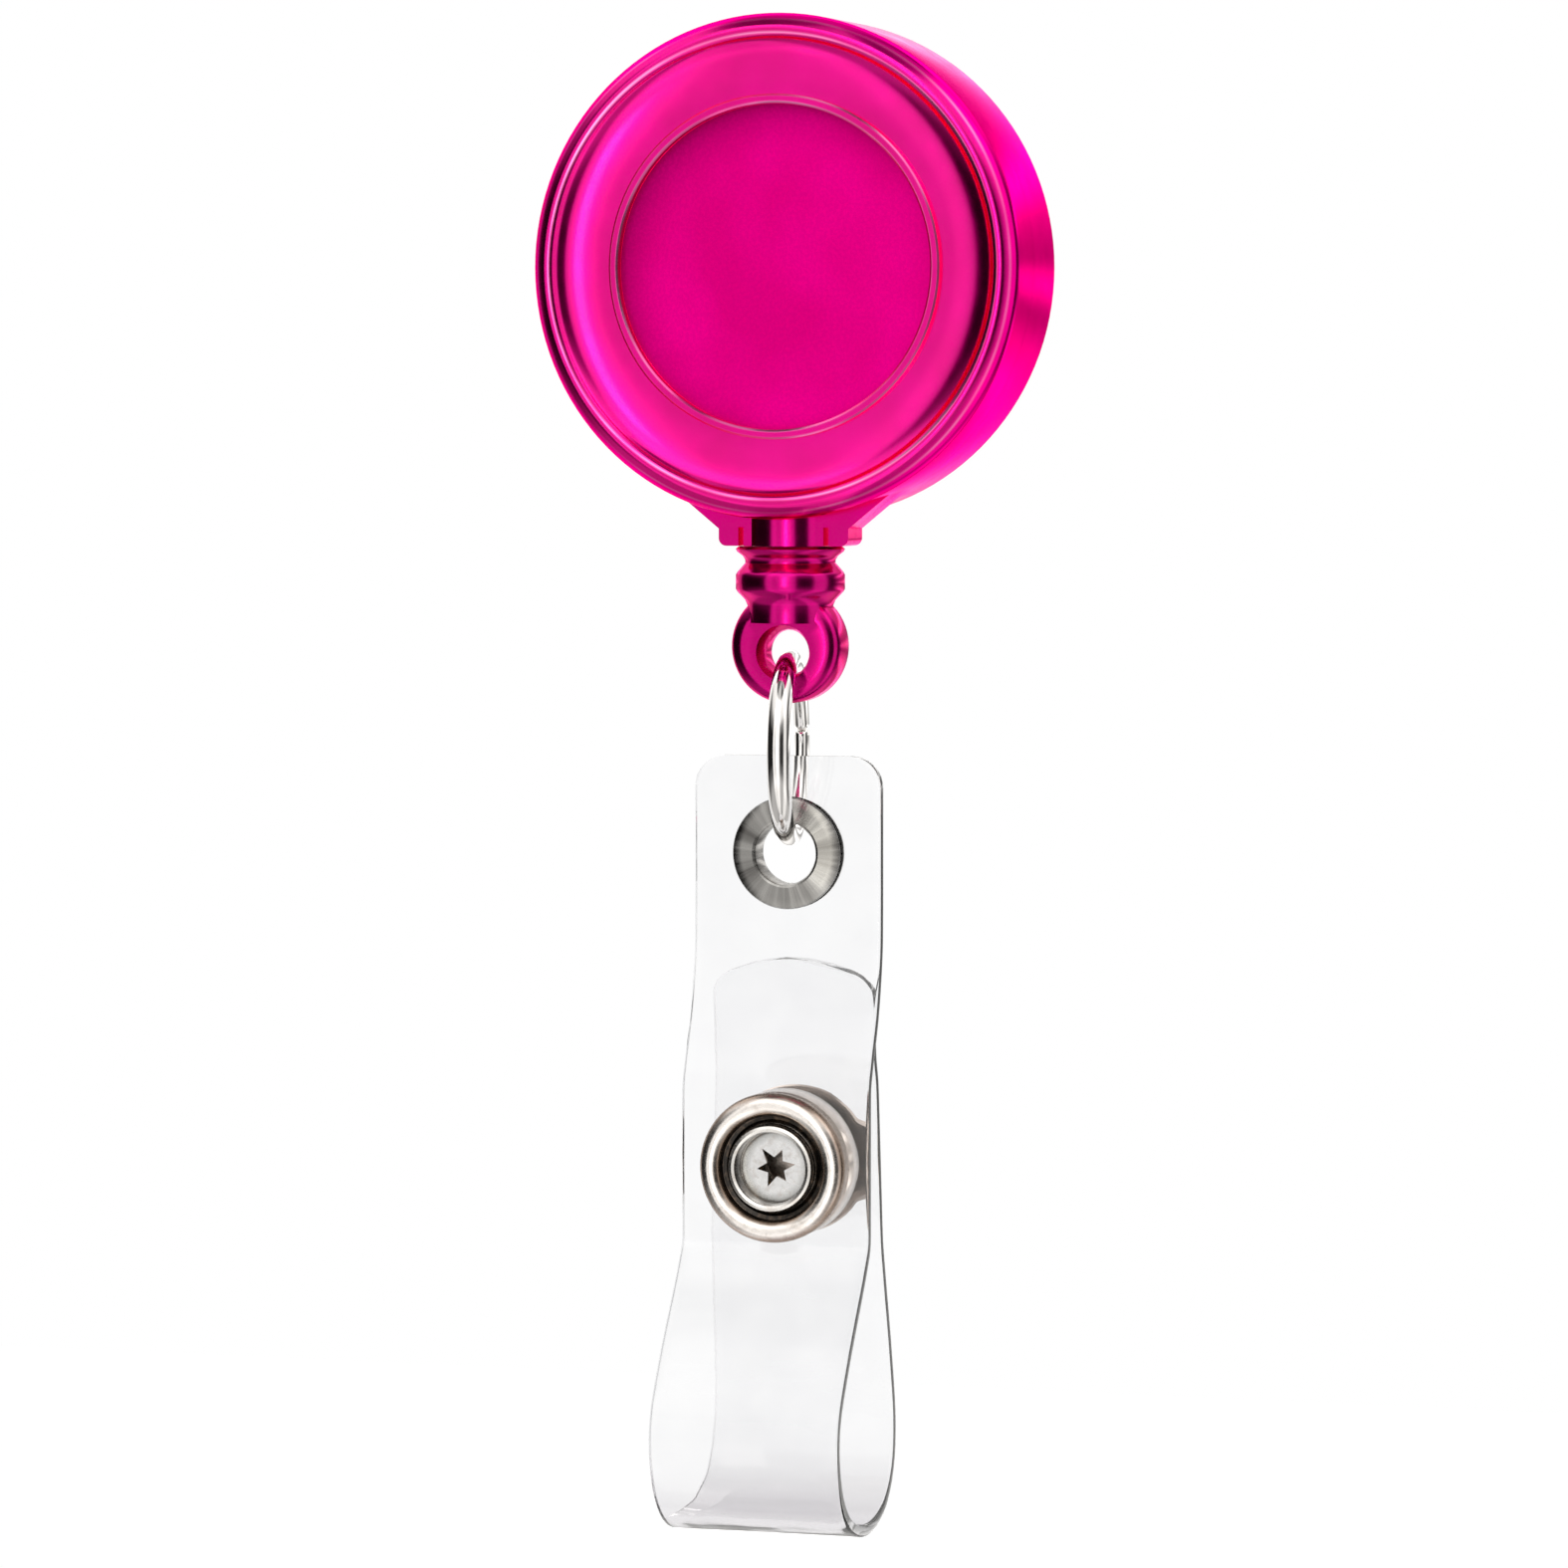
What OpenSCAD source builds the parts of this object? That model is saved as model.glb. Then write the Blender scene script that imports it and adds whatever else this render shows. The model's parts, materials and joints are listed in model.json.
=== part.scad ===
// Retractable badge reel: clip, sealed reel, cord, end fitting, ring and snap strap.
// Millimetres. +Z is up, the label faces -Y. The origin is where cloth sits in the clip.

/* [Reel case] */
// Radius of the case
case_r = 16; // [14:0.5:20]
// Case in front of the split plane, to the rim's crest
front_d = 4.6; // [4:0.1:6]
// Case behind the split plane
back_d = 6.2; // [6:0.1:8]
// Thickness of the case walls
wall = 1.1; // [0.8:0.1:1.6]
// Radius of the round label recess
label_r = 10.3; // [8:0.1:11]
// Depth of the recess below the ring that frames it
label_sink = 0.7; // [0.3:0.1:1]

/* [Cord] */
// Diameter of the cord
cord_d = 0.7; // [0.5:0.1:1.2]
// Radius of the spool's floor
floor_r = 9.6; // [8:0.1:11]
// Outside radius of the wound cord
wound_r = 12.45; // [11:0.05:13]

/* [End fitting and ring] */
// Radius of the fitting's collar and band
collar_r = 3.5; // [3:0.1:4.5]
// Outside radius of the fitting's eye
eye_r = 3.65; // [3.2:0.05:4.5]
// Radius of the ring, to the middle of its wire
ring_r = 5.55; // [5:0.05:8]
// Radius of the ring's wire
wire_r = 0.75; // [0.5:0.05:1]
// Turn of the ring from straight ahead
ring_turn = 8.6; // [0:0.1:20]

/* [Strap] */
// Width of the strap
strap_w = 12.4; // [10:0.1:16]
// Width of the strap at the flap's tip
tip_w = 10.6; // [9:0.1:14]
// Thickness of the vinyl
vinyl = 0.8; // [0.4:0.05:1]
// Radius of the grommet's flange
grommet_r = 3.6; // [3:0.05:5]
// Radius of the hole through the grommet
grommet_hole = 2; // [1.6:0.05:3]
// Radius of the snap
snap_r = 4.8; // [4:0.1:6]

/* [Clip] */
// Width of the clip
clip_w = 9.6; // [8:0.2:12]
// Thickness of the clip's sheet metal
sheet = 0.8; // [0.5:0.05:1]

/* [Hidden] */

eps = 0.01;
plane_y = -10;          // the case's split plane, and the strap's
neck_z = -17.7;
neck_w = 8.6;
slot_x = 2.825;                // the neck's two narrow slots, from its middle
slot_w = 0.35;
tube_r = 2.65;
cord_r = cord_d / 2;
ring_z = -30.65;
eye_z = -24.1;
eye_hole_r = 1.43;
hook_z = ring_z + ring_r;      // the wire's middle in the fitting's eye
eye_slack = 0.08;              // between the wire and the bottom of the eye
eye_hole_z = hook_z - wire_r - eye_slack + eye_hole_r;
knot_z = -20.55;
hang_z = ring_z - ring_r;      // and in the grommet
grommet_z = hang_z + wire_r + 0.12 - grommet_hole;
grommet_f = 0.35;              // how far forward the grommet clamps the leg
snap_z = -57.2;
strap_top = -31.1;
pivot_f = 3.4;                 // the loop's lowest point, where the flap begins
pivot_z = -80.2;
post_r = 3;                    // the spool's post, and its narrower tip
tip_r = 2.3;
pin_y = 0.9;
pin_z = 5;
pin_r = 0.8;
case_in = case_r - wall - 0.3;

// Parts are drawn with f, the distance in front of the split plane.
module at_plane() { translate([0, plane_y, 0]) children(); }

// Turns a profile of [radius, f] about an axis along Y at height z.
module turned(z = 0, fn = 96) {
  at_plane() translate([0, 0, z]) rotate([90, 0, 0]) rotate_extrude($fn = fn) children();
}

// A front outline in [x, z], as thick as f0 to f1.
module upright(f0, f1) {
  at_plane() translate([0, -f0, 0]) rotate([90, 0, 0]) linear_extrude(f1 - f0) children();
}

// A side outline in [y, z], from x0 to x1.
module sideways(x0, x1) {
  translate([x0, 0, 0]) rotate([90, 0, 90]) linear_extrude(x1 - x0) children();
}

function arc(c, r, a0, a1, n) =
  [for (i = [0:n]) let (a = a0 + (a1 - a0) * i / n) [c[0] + r * cos(a), c[1] + r * sin(a)]];

// ---- case

module neck_outline() {
  union() {
    polygon([[-8.2, -13.4], [8.2, -13.4], [4.3, -16.6], [-4.3, -16.6]]);
    translate([-neck_w / 2, neck_z + 0.5]) square([neck_w, 4]);
    translate([-neck_w / 2 + 0.5, neck_z]) square([neck_w - 1, 1]);
    for (s = [-1, 1]) translate([s * (neck_w / 2 - 0.5), neck_z + 0.5]) circle(0.5, $fn = 32);
  }
}

module neck_slots() {
  for (s = [-1, 1]) translate([s * slot_x - slot_w / 2, neck_z - 1]) square([slot_w, 2.2]);
}

module neck(side) {
  f0 = side > 0 ? 0 : -1.6;
  f1 = side > 0 ? 1.6 : 0;
  difference() {
    union() {
      upright(f0, f1) difference() {
        neck_outline();
        neck_slots();
      }
      intersection() {
        at_plane() translate([0, 0, neck_z]) cylinder(4, tube_r, tube_r, $fn = 64);
        upright(side > 0 ? 0 : -4, side > 0 ? 4 : 0) square([20, 60], center = true);
      }
    }
    at_plane() translate([0, 0, neck_z - 1]) cylinder(6, 0.75, 0.75, $fn = 48);
    at_plane() translate([0, 0, neck_z - eps]) cylinder(0.6, 1.3, 0.7, $fn = 48);
    at_plane() translate([0, 0, -14.9]) cylinder(1.6, 0.7, 2.2, $fn = 48);
    turned() translate([0, -20]) square([case_in, 40]);
  }
}

// Where the cord passes through the case's wall.
module cord_hole() {
  at_plane() translate([0, 0, -15]) cylinder(4, 0.7, 0.7, center = true, $fn = 32);
}

module front_shell() {
  floor_f = front_d - 1.3;       // the recess that takes the label
  lip_f = floor_f + label_sink;  // the narrow ring that frames it
  face_f = front_d - 1.1;
  cove_r = label_r + 0.7;        // from here the face curves up to the rim
  crest_r = case_r - 1.1;
  dish = 0.5;                    // height gained by the gentle slope, before the steep one
  cove = [for (t = [0, 0.12, 0.25, 0.37, 0.5, 0.6, 0.68, 0.75, 0.82, 0.88, 0.94, 1])
    [cove_r + (crest_r - 0.5 - cove_r) * t,
      face_f + dish * t * t + (front_d - 0.32 - face_f - dish) * pow(t, 9)]];
  turned() polygon(concat(
    [[0, 2.2], [0, floor_f], [label_r, floor_f], [label_r, lip_f - 0.1], [label_r + 0.12, lip_f],
     [label_r + 0.48, lip_f], [label_r + 0.6, lip_f - 0.1], [label_r + 0.6, face_f]],
    cove,
    arc([crest_r, front_d - 0.55], 0.55, 145, 50, 7),
    arc([case_r - 1, front_d - 1.3], 1, 42, 0, 5),
    [[case_r, 0], [case_in, 0], [case_in, 2.2]]));
}

module front_case() {
  color("DeepPink") union() {
    difference() {
      front_shell();
      cord_hole();
    }
    neck(1);
    // the ring that keeps the spool on its post
    turned() translate([2.6, 1.9]) square([0.8, 0.4]);
  }
}

module back_shell() {
  rim = arc([case_r - 1, 1 - back_d], 1, -90, 0, 10);
  turned() polygon(concat(
    [[1.15, -back_d]], rim,
    [[case_r, -eps * 3], [case_in, -eps * 3], [case_in, wall - back_d],
     [post_r, wall - back_d], [post_r, 0.2], [tip_r, 0.2], [tip_r, 1.8],
     [1.6, 1.8], [1.6, 1.8 - back_d], [1.15, 1.8 - back_d]]));
}

module back_case() {
  color("MediumVioletRed") union() {
    difference() {
      back_shell();
      cord_hole();
    }
    translate([0, eps * 3, 0]) neck(-1);
  }
}

// ---- spool and cord

module spool() {
  color("WhiteSmoke") difference() {
    turned() polygon([[tip_r + 0.05, 1], [tip_r + 0.05, 1.8], [12.9, 1.8], [12.9, 1.15],
      [floor_r, 1.15], [floor_r, -1.15], [12.9, -1.15], [12.9, -1.8], [floor_r, -1.8],
      [floor_r, -4.8], [floor_r - 0.8, -4.8], [floor_r - 0.8, 1]]);
    for (a = [0:60:300])
      turned_hole(5.9, a, 1.1);
  }
}

// A round hole through the spool's web, r from its axis and a degrees round.
module turned_hole(r, a, hole) {
  at_plane() rotate([0, a, 0]) translate([r, -2.5, 0]) rotate([-90, 0, 0])
    cylinder(2, hole, hole, $fn = 32);
}

function spiral(t, off) = let (r = 3.25 + 5.3 * t + off, a = 360 * 6.5 * t) [r * cos(a), r * sin(a)];

module power_spring() {
  n = 130;
  color("SteelBlue") upright(-4.7, 0.5) polygon(concat(
    [for (i = [0:n]) spiral(i / n, -0.09)],
    [for (i = [n:-1:0]) spiral(i / n, 0.09)]));
}

module cord_winding() {
  n = 3;
  w = 2.2 / n;
  top = [for (i = [0:n - 1]) each arc([wound_r - cord_r, 1.1 - w * (i + 0.5)], cord_r, 78, -78, 6)];
  color("Black") turned() polygon(concat(
    [[floor_r + 0.03, -1.1], [floor_r + 0.03, 1.1]],
    top));
}

module cord_lead() {
  a = [8.15, -10.15];
  b = [0.12, -14.6];
  d = b - a;
  color("Black") at_plane() translate([a[0], 0, a[1]])
    rotate([0, atan2(d[0], d[1]), 0]) cylinder(norm(d), cord_r, cord_r, $fn = 24);
}

module cord_tail() {
  color("Black") at_plane() translate([0, 0, -19.75])
    cylinder(4.4, cord_r, cord_r, $fn = 24);
}

module cord_knot() {
  color("Black") difference() {
    at_plane() translate([0, 0, knot_z]) sphere(1.05, $fn = 32);
    at_plane() translate([0, 0, -19.78]) cylinder(2, cord_r + 0.02, cord_r + 0.02, $fn = 24);
  }
}

module end_fitting() {
  color("DeepPink") difference() {
    union() {
      at_plane() rotate_extrude($fn = 72) polygon([[0, -17.73], [collar_r - 0.2, -17.73],
        [collar_r, -17.9], [collar_r - 0.08, -18.07], [3.05, -18.35], [2.9, -18.6], [2.9, -18.8],
        [collar_r - 0.12, -19.35], [collar_r, -19.55], [collar_r, -20.45],
        [collar_r - 0.12, -20.65], [2.9, -21.15], [2.75, -21.5], [2.75, -22.6], [0, -22.6]]);
      turned(eye_z, 72) polygon([[0, 1.75], [2.75, 1.75], [3.2, 1.62], [3.5, 1.35],
        [eye_r, 0.85], [eye_r, -0.85], [3.5, -1.35], [3.2, -1.62], [2.75, -1.75], [0, -1.75]]);
    }
    turned(eye_hole_z, 64) polygon([[0, 2.2], [2.1, 2.2], [1.78, 1.75], [1.62, 1.3], [1.5, 0.85],
      [eye_hole_r, 0.35], [eye_hole_r, -0.35], [1.5, -0.85], [1.62, -1.3], [1.78, -1.75],
      [2.1, -2.2], [0, -2.2]]);
    at_plane() translate([0, 0, -19.5]) cylinder(2, 0.45, 0.45, $fn = 32);
    at_plane() translate([0, 0, -18.1]) cylinder(0.4, 0.45, 0.9, $fn = 32);
    at_plane() translate([0, 0, knot_z]) sphere(1.2, $fn = 48);
  }
}

module jump_ring() {
  gap = 0.6;       // degrees between the butted ends
  gap_at = 10.4;   // their place, in degrees up from straight behind
  color("Silver") at_plane() translate([0, 0, ring_z]) rotate([0, 0, ring_turn])
    rotate([gap_at + gap / 2, 0, 0]) rotate([90, 0, 90])
    rotate_extrude(angle = 360 - gap, $fn = 96) translate([ring_r, 0]) circle(wire_r, $fn = 36);
}

// ---- strap

function cr(p0, p1, p2, p3, t) = 0.5 * ((2 * p1) + (p2 - p0) * t
  + (2 * p0 - 5 * p1 + 4 * p2 - p3) * t * t + (3 * p1 - p0 - 3 * p2 + p3) * t * t * t);

function curve(p, n) = concat([for (i = [1:len(p) - 3], k = [0:n - 1])
  cr(p[i - 1], p[i], p[i + 1], p[i + 2], k / n)], [p[len(p) - 2]]);

function along(c, i) = let (a = c[max(i - 1, 0)], b = c[min(i + 1, len(c) - 1)], d = b - a)
  d / norm(d);

function beside(c, off) = [for (i = [0:len(c) - 1]) let (t = along(c, i))
  c[i] + off * [-t[1], t[0]]];

function back(l) = [for (i = [len(l) - 1:-1:0]) l[i]];

// [y, z] of the leg's middle, from its top edge to the loop's lowest point. It is flat where the
// grommet and the snap clamp it.
leg_path = concat(
  curve([[-0.35, -28], [-0.35, strap_top], [-0.35, -36.5], [-0.35, -41.2], [-0.5, -44],
    [-1.3, -47.5], [-2.5, -50.4], [-3.15, -52.5], [-2.5, -54.6]], 4),
  curve([[-4.3, -59.4], [-3.15, -61.7], [-4.3, -64], [-8, -69], [-10.2, -73], [-9.7, -76.8],
    [-7.3, -79.3], [-pivot_f - 0.45, pivot_z], [1, pivot_z]], 4));

// and of the flap's, from there to its tip
flap_path = concat(
  curve([[-6, pivot_z], [-pivot_f, pivot_z], [0.2, -79.4], [2.6, -77.2], [3.4, -74], [2.9, -69.5],
    [2.05, -65], [1.6, -61.8], [2.05, -58.6]], 4),
  curve([[1.2, -55.4], [1.6, -52.6], [1.2, -49.8], [0.65, -43.5], [0.3, -40]], 4));

module strip(path) {
  translate([0, plane_y, 0]) sideways(-10, 10)
    polygon(concat(beside(path, vinyl / 2), back(beside(path, -vinyl / 2))));
}

module leg_outline() {
  w = strap_w / 2;
  union() {
    translate([-w, -90]) square([strap_w, 90 + strap_top - 2]);
    translate([-w + 2, strap_top - 3]) square([strap_w - 4, 3]);
    for (s = [-1, 1]) translate([s * (w - 2), strap_top - 2]) circle(2, $fn = 64);
  }
}

module flap_outline() {
  w = strap_w / 2;
  t = tip_w / 2;
  tip_arc = 10.2;            // radius of the rounded tip
  c = -44.2 - tip_arc;
  intersection() {
    polygon([[-w, -90], [w, -90], [w, -76], [t + 0.3, -58], [t, -46.5], [t - 0.3, -45.85],
      [t - 0.8, -45.3], [t - 1.2, -40], [-t + 1.2, -40], [-t + 0.8, -45.3], [-t + 0.3, -45.85],
      [-t, -46.5], [-t - 0.3, -58], [-w, -76]]);
    union() {
      translate([0, c]) circle(tip_arc, $fn = 120);
      translate([-10, -95]) square([20, 95 + c + 8]);
    }
  }
}

module strap_leg() {
  color("LightCyan", 0.5) difference() {
    intersection() {
      strip(leg_path);
      upright(-20, 20) leg_outline();
    }
    turned(grommet_z, 64) translate([0, -5]) square([grommet_hole + 0.42, 10]);
    turned(snap_z, 64) translate([0, -5]) square([2.62, 15]);
  }
}

module strap_flap() {
  color("LightCyan", 0.5) difference() {
    intersection() {
      union() {
        strip(flap_path);
        at_plane() translate([0, -pivot_f, pivot_z]) rotate([0, 90, 0])
          cylinder(20, vinyl / 2 - eps, vinyl / 2 - eps, center = true, $fn = 32);
      }
      upright(-20, 20) flap_outline();
    }
    turned(snap_z, 64) translate([0, -15]) square([1.32, 15]);
  }
}

module grommet_eyelet() {
  g = grommet_hole;
  y = grommet_f;
  color("Silver") turned(grommet_z, 72) polygon([[g, y - 0.95], [g, y + 0.74],
    [g + 0.07, y + 0.86], [g + 0.2, y + 0.92], [grommet_r - 0.3, y + 0.74],
    [grommet_r - 0.08, y + 0.66], [grommet_r, y + 0.5], [grommet_r - 0.06, y + 0.42],
    [g + 0.38, y + 0.42], [g + 0.38, y - 0.86], [g + 0.9, y - 0.86], [g + 0.95, y - 0.98],
    [g + 0.7, y - 1.12], [g + 0.2, y - 1.12]]);
}

module grommet_washer() {
  g = grommet_hole;
  y = grommet_f;
  color("Silver") turned(grommet_z, 72) polygon([[g + 0.4, y - 0.42], [grommet_r, y - 0.42],
    [grommet_r, y - 0.58], [grommet_r - 0.25, y - 0.78], [g + 0.4, y - 0.84]]);
}

// ---- snap, with its leg at f 3.15 and its flap at f -1.6

// The hole between the petals that close the tube.
module star() {
  tips = [1.35, 1.2, 1.45, 1.25, 1.4, 1.15];
  polygon([for (i = [0:5]) each [tips[i] * [cos(60 * i + 8), sin(60 * i + 8)],
    0.62 * [cos(60 * i + 38), sin(60 * i + 38)]]]);
}

module snap_front_ring() {
  color("Silver") union() {
    turned(snap_z, 72) polygon(concat(
      [[2.3, 1.2], [2.3, 4.5], [2.38, 4.66], [2.55, 4.72], [2.72, 4.66], [2.8, 4.5],
       [2.85, 4], [3.1, 3.82], [3.35, 3.9]],
      arc([snap_r - 0.75, 4.03], 0.74, 165, 0, 10),
      [[snap_r - 0.02, 3.72], [snap_r - 0.2, 3.57], [2.58, 3.57], [2.58, 1.2]]));
    difference() {
      turned(snap_z, 72) translate([0, 3.05]) square([2.4, 0.3]);
      upright(2, 4) translate([0, snap_z]) star();
    }
  }
}

module snap_socket() {
  r = snap_r - 0.05;
  color("DimGray") turned(snap_z, 72) polygon([[2.62, 2.73], [r - 0.25, 2.73], [r - 0.03, 2.5],
    [r, 2.2], [r, 0.5], [r - 0.15, 0.05], [r - 0.55, -0.2], [2.6, -0.25], [2.15, -0.1],
    [2.05, 0.1], [3.3, 0.25], [r - 0.85, 0.6], [r - 0.85, 1.9], [r - 1.15, 2.2], [2.62, 2.2]]);
}

module snap_socket_spring() {
  color("Goldenrod") at_plane() translate([0, -0.62, snap_z]) rotate([0, 40, 0]) rotate([90, 0, 0])
    rotate_extrude(angle = 310, $fn = 64) translate([2.45, 0]) circle(0.22, $fn = 24);
}

module snap_stud() {
  color("Silver") turned(snap_z, 64) polygon([[1.35, -1.18], [3.5, -1.18], [3.6, -1.02],
    [3.5, -0.86], [2.1, -0.72], [1.72, -0.5], [1.68, 0.3], [1.86, 0.6], [1.86, 0.8],
    [1.62, 1.05], [1.35, 1.1]]);
}

module snap_rear_cap() {
  color("Silver") turned(snap_z, 72) polygon([[0, -2.95], [2.6, -2.92], [snap_r - 0.8, -2.75],
    [snap_r - 0.25, -2.5], [snap_r, -2.2], [snap_r - 0.1, -2.03], [1.3, -2.03], [1.3, 0.9],
    [0, 0.9]]);
}

// ---- clip

module clip_base_jaw() {
  w = clip_w / 2;
  color("Silver") difference() {
    union() {
      sideways(-w, w) polygon([[-3.3, 9.5], [-2.5, 9.5], [-2.5, -9.4], [-0.12, -12.2],
        [-0.12, -13], [-0.75, -13], [-3.3, -10]]);
      for (x = [-w, w - sheet])
        sideways(x, x + sheet) polygon([[-2.6, 8.6], [-2.6, 0.6], [-1, 1.4], [1.6, 3.2],
          [2.4, 4.2], [2.4, 5.8], [1.6, 6.8], [-1, 8.4]]);
    }
    translate([0, -5, 0]) rotate([-90, 0, 0]) cylinder(6, 1.08, 1.08, $fn = 40);
    translate([0, pin_y, pin_z]) rotate([0, 90, 0])
      cylinder(20, pin_r + 0.03, pin_r + 0.03, center = true, $fn = 40);
    for (x = [-3.6:1.8:3.6])
      translate([x, -0.12, -12.6]) rotate([0, 0, 45]) cube([0.6, 0.6, 3], center = true);
  }
}

module clip_lever_jaw() {
  w = clip_w / 2;
  in = w - sheet - 0.3;
  color("Silver") difference() {
    union() {
      sideways(-w, w) polygon([[0.12, -13], [0.12, -12.2], [2.8, -9.4], [2.8, 0.2], [3.6, 0.2],
        [3.6, -9.7], [0.8, -13]]);
      sideways(-in, in) polygon([[2.8, 0.1], [2.8, 4], [4.9, 12.4], [5.3, 12.9], [5.9, 12.6],
        [5.8, 12.1], [3.6, 3.8], [3.6, 0.1]]);
      for (x = [-in, in - sheet])
        sideways(x, x + sheet) polygon([[3.1, 0.9], [1, 2.9], [-0.5, 4], [-0.7, 5.2], [0.1, 6.5],
          [2, 7.4], [4.1, 7.6], [3.2, 4]]);
    }
    translate([0, pin_y, pin_z]) rotate([0, 90, 0])
      cylinder(20, pin_r + 0.05, pin_r + 0.05, center = true, $fn = 40);
    for (x = [-2.7:1.8:2.7])
      translate([x, 0.12, -12.6]) rotate([0, 0, 45]) cube([0.6, 0.6, 3], center = true);
  }
}

module clip_pin() {
  w = clip_w / 2;
  color("Gray") translate([0, pin_y, pin_z]) rotate([0, 90, 0]) union() {
    cylinder(clip_w + 0.2, pin_r, pin_r, center = true, $fn = 40);
    for (s = [-1, 1]) translate([0, 0, s * (w + 0.25)])
      cylinder(0.4, 1.15, 1.15, center = true, $fn = 40);
  }
}

// A round wire along a path, closed at both ends.
module wire(path, r, n) {
  m = len(path);
  pts = [for (i = [0:m - 1]) let (d = path[min(i + 1, m - 1)] - path[max(i - 1, 0)],
    t = d / norm(d), c = cross(t, [1, 0, 0]), u = c / norm(c), v = cross(t, u))
    for (k = [0:n - 1]) path[i] + r * (cos(360 * k / n) * u + sin(360 * k / n) * v)];
  sides = [for (i = [0:m - 2], k = [0:n - 1]) let (a = i * n + k, b = i * n + (k + 1) % n)
    [a, a + n, b + n, b]];
  polyhedron(pts, concat(sides, [[for (k = [0:n - 1]) k]],
    [[for (k = [n - 1:-1:0]) (m - 1) * n + k]]), convexity = 6);
}

module clip_spring() {
  r = 1.3;              // the coil round the pin
  half = 1.35;          // half its length
  a_in = 146;           // where its wire comes in, and leaves three turns later
  a_out = 3 - 3 * 360;
  n = 62;
  coil = [for (i = [0:n]) let (a = a_in + (a_out - a_in) * i / n)
    [half * (2 * i / n - 1), pin_y + r * cos(a), pin_z + r * sin(a)]];
  color("SteelBlue") wire(concat([[-half, -2.2, 2.75], [-half, -1.4, 3.93]], coil,
    [[half, 2.42, 0.9], [half, 2.5, -0.6]]), 0.25, 8);
}

module swivel_rivet() {
  color("Silver") turned(0, 64) polygon([[0, -3.6], [1.3, -3.6], [1.5, -3.8], [1.5, -4.37],
    [1.05, -4.37], [1.05, -7.53], [2.2, -7.53], [2.15, -7.9], [1.7, -8.2], [0, -8.35]]);
}

module swivel_washer() {
  color("Gainsboro") turned(0, 64) translate([1.12, -6.65]) square([2.2, 0.4]);
}

front_case();
back_case();
spool();
power_spring();
cord_winding();
cord_lead();
swivel_rivet();
swivel_washer();
clip_base_jaw();
clip_lever_jaw();
clip_pin();
clip_spring();
cord_tail();
cord_knot();
end_fitting();
jump_ring();
grommet_eyelet();
grommet_washer();
strap_leg();
strap_flap();
snap_front_ring();
snap_socket();
snap_socket_spring();
snap_stud();
snap_rear_cap();
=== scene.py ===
"""Looks for the retractable badge reel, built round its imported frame. Metres; the label faces -Y."""
import json
import math

import bmesh
import bpy
from mathutils import Matrix, Vector


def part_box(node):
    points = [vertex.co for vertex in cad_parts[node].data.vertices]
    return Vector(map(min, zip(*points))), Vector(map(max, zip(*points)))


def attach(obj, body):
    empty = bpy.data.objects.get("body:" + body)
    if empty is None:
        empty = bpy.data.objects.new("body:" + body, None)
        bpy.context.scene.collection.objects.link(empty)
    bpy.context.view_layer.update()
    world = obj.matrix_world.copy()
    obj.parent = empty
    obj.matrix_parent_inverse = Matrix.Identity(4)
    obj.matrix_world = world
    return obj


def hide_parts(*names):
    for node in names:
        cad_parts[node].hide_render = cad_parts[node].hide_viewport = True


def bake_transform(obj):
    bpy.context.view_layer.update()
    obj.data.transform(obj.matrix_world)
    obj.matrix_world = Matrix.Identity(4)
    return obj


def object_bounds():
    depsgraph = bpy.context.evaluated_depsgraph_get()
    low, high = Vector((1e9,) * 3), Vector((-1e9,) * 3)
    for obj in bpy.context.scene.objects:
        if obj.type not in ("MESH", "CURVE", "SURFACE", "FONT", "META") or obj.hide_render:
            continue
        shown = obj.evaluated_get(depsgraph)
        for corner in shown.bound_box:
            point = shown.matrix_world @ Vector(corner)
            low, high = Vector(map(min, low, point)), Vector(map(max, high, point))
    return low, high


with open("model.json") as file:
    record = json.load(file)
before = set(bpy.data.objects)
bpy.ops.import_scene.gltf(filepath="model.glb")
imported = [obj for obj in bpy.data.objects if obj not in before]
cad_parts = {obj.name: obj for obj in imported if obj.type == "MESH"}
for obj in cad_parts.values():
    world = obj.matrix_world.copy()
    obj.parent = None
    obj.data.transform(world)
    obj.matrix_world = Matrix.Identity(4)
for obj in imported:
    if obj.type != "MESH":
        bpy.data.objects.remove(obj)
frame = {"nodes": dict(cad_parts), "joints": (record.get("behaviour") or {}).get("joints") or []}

CAD_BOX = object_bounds()
MM = 0.001


# ---- places, from the frame

def mid(node):
    lo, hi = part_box(node)
    return (Vector(lo) + Vector(hi)) / 2


def joint(name):
    return next(j for j in frame["joints"] if j["name"] == name)


PLANE_Y = joint("spool_spin")["pos_m"][1]      # the plane the case is split on
PIVOT = Vector(joint("flap_open")["pos_m"])    # the loop's lowest point
SNAP_Z = mid("snap_rear_cap").z
GROMMET_Z = mid("grommet_eyelet").z
CASE_R = (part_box("front_case")[1][0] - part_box("front_case")[0][0]) / 2


# ---- camera

CAMERA_AZIMUTH = math.radians(16.5)
CAMERA_DISTANCE = 0.430
CAMERA_Z = -0.0083
AIM_Z = -0.03295
AIM_LEFT = 0.00041
LENS = 154.5


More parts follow.
